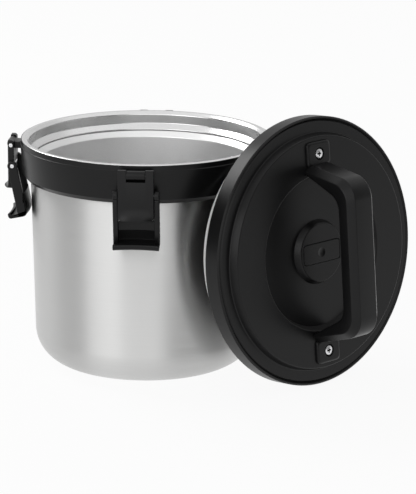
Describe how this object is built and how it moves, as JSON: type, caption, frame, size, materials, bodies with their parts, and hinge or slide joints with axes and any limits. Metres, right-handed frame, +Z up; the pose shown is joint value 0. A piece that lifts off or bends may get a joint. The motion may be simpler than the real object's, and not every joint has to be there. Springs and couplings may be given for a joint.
{
  "type": "insulated serving crock",
  "caption": "Double-wall steel serving crock with a black latching collar; its lift-off lid with bail handle and vent button stands leaning against it.",
  "frame": {"origin": "middle of the crock's base, on the surface it stands on", "axes": "+Z up along the crock's axis, -Y through the front latch, +X through the right latch"},
  "size_m": [0.3201, 0.2455, 0.211],
  "materials": {
    "brushed_steel": "brushed",
    "satin_steel": "satin",
    "pin_steel": "polished",
    "getter_metal": "matte",
    "seal_resin": "matte",
    "black_plastic": "satin",
    "plug_plastic": "satin",
    "foam": "matte",
    "silicone": "matte"
  },
  "bodies": {
    "crock": {"outer_shell": "brushed_steel", "jacket_ring": "brushed_steel", "base_plate": "brushed_steel", "vacuum_seal": "seal_resin", "getter": "getter_metal", "inner_liner": "satin_steel", "neck_ring": "satin_steel", "collar": "black_plastic", "lever_pins": "pin_steel"},
    "lever_front": {"latch_lever_front": "black_plastic", "hook_pin_front": "pin_steel"},
    "hook_front": {"latch_hook_front": "black_plastic"},
    "lever_left": {"latch_lever_left": "black_plastic", "hook_pin_left": "pin_steel"},
    "hook_left": {"latch_hook_left": "black_plastic"},
    "lever_right": {"latch_lever_right": "black_plastic", "hook_pin_right": "pin_steel"},
    "hook_right": {"latch_hook_right": "black_plastic"},
    "lever_back": {"latch_lever_back": "black_plastic", "hook_pin_back": "pin_steel"},
    "hook_back": {"latch_hook_back": "black_plastic"},
    "lid": {"lid_cover": "black_plastic", "lid_base": "plug_plastic", "lid_insulation": "foam", "lid_gasket": "silicone", "handle": "black_plastic", "handle_screws": "pin_steel", "vent_bezel": "black_plastic", "vent_spring": "pin_steel"},
    "vent": {"vent_button": "black_plastic", "vent_stem": "black_plastic", "vent_seal": "silicone"}
  },
  "joints": [
    {"name": "lever_front_swing", "type": "hinge", "parent": "crock", "child": "lever_front", "pos_m": [0, -0.1067, 0.1758], "axis": [-1, 0, 0], "range_deg": [0, 165]},
    {"name": "hook_front_swing", "type": "hinge", "parent": "lever_front", "child": "hook_front", "pos_m": [0, -0.1054, 0.1598], "axis": [1, 0, 0], "range_deg": [-185, 0]},
    {"name": "lever_left_swing", "type": "hinge", "parent": "crock", "child": "lever_left", "pos_m": [-0.1067, 0, 0.1758], "axis": [0, 1, 0], "range_deg": [0, 165]},
    {"name": "hook_left_swing", "type": "hinge", "parent": "lever_left", "child": "hook_left", "pos_m": [-0.1054, 0, 0.1598], "axis": [0, -1, 0], "range_deg": [-185, 0]},
    {"name": "lever_right_swing", "type": "hinge", "parent": "crock", "child": "lever_right", "pos_m": [0.1067, 0, 0.1758], "axis": [0, -1, 0], "range_deg": [0, 15]},
    {"name": "hook_right_swing", "type": "hinge", "parent": "lever_right", "child": "hook_right", "pos_m": [0.1054, 0, 0.1598], "axis": [0, 1, 0], "range_deg": [-20, 0]},
    {"name": "lever_back_swing", "type": "hinge", "parent": "crock", "child": "lever_back", "pos_m": [0, 0.1067, 0.1758], "axis": [1, 0, 0], "range_deg": [0, 165]},
    {"name": "hook_back_swing", "type": "hinge", "parent": "lever_back", "child": "hook_back", "pos_m": [0, 0.1054, 0.1598], "axis": [-1, 0, 0], "range_deg": [-185, 0]},
    {"name": "lid_lift", "type": "slide", "parent": "crock", "child": "lid", "axis": [0, 0, 1], "range_m": [0, 0.25]},
    {"name": "vent_press", "type": "slide", "parent": "lid", "child": "vent", "axis": [-0.7224, 0.6855, -0.0906], "range_m": [0, 0.003], "stiffness_N_per_m": 400, "springref_m": -0.002, "deforming": ["vent_spring"]}
  ]
}
